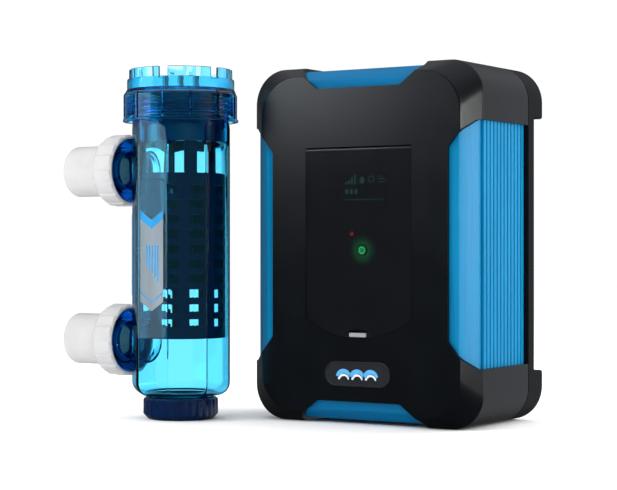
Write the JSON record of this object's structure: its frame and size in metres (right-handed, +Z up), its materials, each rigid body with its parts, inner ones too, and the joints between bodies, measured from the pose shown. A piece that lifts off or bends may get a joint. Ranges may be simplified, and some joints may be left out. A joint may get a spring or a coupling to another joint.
{
  "type": "salt chlorine generator",
  "caption": "Pool salt chlorinator: a wall box with ribbed sides and a flip-up window, beside a clear see-through electrode cell with side pipe unions.",
  "frame": {"origin": "centre of the pair's bounding box on the floor, under the middle of the two units", "axes": "+Z up, -Y towards the controller's window side, +X from the cell's pipe tails towards the controller"},
  "size_m": [0.43, 0.221, 0.3345],
  "materials": {
    "black_moulding": "fine satin grain",
    "blue_aluminium": "satin anodised blue",
    "seal_rubber": "matt black",
    "steel_fastener": "bright",
    "galvanised_plate": "galvanised",
    "badge_ground": "satin charcoal",
    "badge_blue": "gloss",
    "smoked_window": "smoked gloss",
    "fascia_black": "satin",
    "display_glass": "gloss",
    "lit_button": "green-lit translucent",
    "key_rubber": "matt",
    "indicator_red": "translucent red",
    "circuit_board": "solder mask",
    "transformer_tape": "wound tape",
    "bare_aluminium": "extruded",
    "terminal_green": "moulded",
    "fuse_black": "moulded",
    "blue_clear": "clear tinted gloss",
    "label_silver": "silver film",
    "label_blue": "printed film",
    "navy_moulding": "dark translucent blue",
    "coated_titanium": "oxide coated",
    "washer_nylon": "matt",
    "white_pvc": "semi-gloss"
  },
  "bodies": {
    "controller": {"front_cover": "black_moulding", "back_housing": "black_moulding", "left_heat_sink": "blue_aluminium", "right_heat_sink": "blue_aluminium", "top_trim": "blue_aluminium", "bottom_trim": "blue_aluminium", "rear_bumpers": "black_moulding", "cover_gasket": "seal_rubber", "cover_screws": "steel_fastener", "hanging_plate": "galvanised_plate", "cable_glands": "black_moulding", "badge_plate": "badge_ground", "badge_emblem": "badge_blue", "hinge_pin": "steel_fastener", "control_fascia": "fascia_black", "display": "display_glass", "indicator_lens": "indicator_red", "control_board": "circuit_board", "power_board": "circuit_board", "transformer": "transformer_tape", "heat_spreader": "bare_aluminium", "terminal_block": "terminal_green", "fuse_holder": "fuse_black"},
    "window_flap": {"window": "smoked_window"},
    "latch": {"window_latch": "steel_fastener"},
    "power_key": {"power_button": "lit_button"},
    "menu": {"menu_key": "key_rubber"},
    "up": {"up_key": "key_rubber"},
    "down": {"down_key": "key_rubber"},
    "cell": {"cell_housing": "blue_clear", "cell_label": "label_silver", "label_chevrons": "label_blue"},
    "cartridge": {"electrode_head": "navy_moulding", "head_o_ring": "seal_rubber", "terminal_studs": "steel_fastener", "electrode_straps": "coated_titanium", "electrode_cage": "navy_moulding", "electrode_plates": "coated_titanium", "plate_spacers": "navy_moulding"},
    "collar_lift": {"collar_washer": "washer_nylon"},
    "collar_ring": {"collar": "blue_clear"},
    "upper_pipe": {"upper_tail": "white_pvc", "upper_o_ring": "seal_rubber"},
    "upper_union": {"upper_nut": "white_pvc"},
    "lower_pipe": {"lower_tail": "white_pvc", "lower_o_ring": "seal_rubber"},
    "lower_union": {"lower_nut": "white_pvc"},
    "cap_drop": {"cap_gasket": "seal_rubber"},
    "cap": {"drain_cap": "navy_moulding"}
  },
  "joints": [
    {"name": "window_hinge", "type": "hinge", "parent": "controller", "child": "window_flap", "pos_m": [0.0925, -0.0235, 0.2548], "axis": [-1, 0, 0], "range_deg": [0, 95]},
    {"name": "latch_slide", "type": "slide", "parent": "window_flap", "child": "latch", "axis": [0, 0, 1], "range_m": [0, 0.0025], "stiffness_N_per_m": 200},
    {"name": "power_press", "type": "slide", "parent": "controller", "child": "power_key", "axis": [0, 1, 0], "range_m": [0, 0.0015], "stiffness_N_per_m": 400},
    {"name": "menu_press", "type": "slide", "parent": "controller", "child": "menu", "axis": [0, 1, 0], "range_m": [0, 0.0015], "stiffness_N_per_m": 400},
    {"name": "up_press", "type": "slide", "parent": "controller", "child": "up", "axis": [0, 1, 0], "range_m": [0, 0.0015], "stiffness_N_per_m": 400},
    {"name": "down_press", "type": "slide", "parent": "controller", "child": "down", "axis": [0, 1, 0], "range_m": [0, 0.0015], "stiffness_N_per_m": 400},
    {"name": "cell_place", "type": "slide", "parent": "controller", "child": "cell", "axis": [-1, 0, 0], "range_m": [0, 0.15]},
    {"name": "cartridge_lift", "type": "slide", "parent": "cell", "child": "cartridge", "axis": [0, 0, 1], "range_m": [0, 0.26]},
    {"name": "collar_rise", "type": "slide", "parent": "cartridge", "child": "collar_lift", "axis": [0, 0, 1], "range_m": [0, 0.0126]},
    {"name": "collar_turn", "type": "hinge", "parent": "collar_lift", "child": "collar_ring", "pos_m": [-0.0885, -0.055, 0.298], "axis": [0, 0, 1], "range_deg": [0, 900]},
    {"name": "upper_draw", "type": "slide", "parent": "cell", "child": "upper_pipe", "axis": [-1, 0, 0], "range_m": [0, 0.0121]},
    {"name": "upper_nut_turn", "type": "hinge", "parent": "upper_pipe", "child": "upper_union", "pos_m": [-0.1595, -0.055, 0.2395], "axis": [-1, 0, 0], "range_deg": [0, 1080]},
    {"name": "lower_draw", "type": "slide", "parent": "cell", "child": "lower_pipe", "axis": [-1, 0, 0], "range_m": [0, 0.0121]},
    {"name": "lower_nut_turn", "type": "hinge", "parent": "lower_pipe", "child": "lower_union", "pos_m": [-0.1595, -0.055, 0.0735], "axis": [-1, 0, 0], "range_deg": [0, 1080]},
    {"name": "cap_draw", "type": "slide", "parent": "cell", "child": "cap_drop", "axis": [0, 0, -1], "range_m": [0, 0.0101]},
    {"name": "cap_turn", "type": "hinge", "parent": "cap_drop", "child": "cap", "pos_m": [-0.0885, -0.055, 0.01], "axis": [0, 0, -1], "range_deg": [0, 720]}
  ],
  "couplings": [
    {"joint": "collar_rise", "follows": "collar_turn", "m_per_rad": 0.00079577},
    {"joint": "upper_draw", "follows": "upper_nut_turn", "m_per_rad": 0.00063662},
    {"joint": "lower_draw", "follows": "lower_nut_turn", "m_per_rad": 0.00063662},
    {"joint": "cap_draw", "follows": "cap_turn", "m_per_rad": 0.00079577}
  ]
}
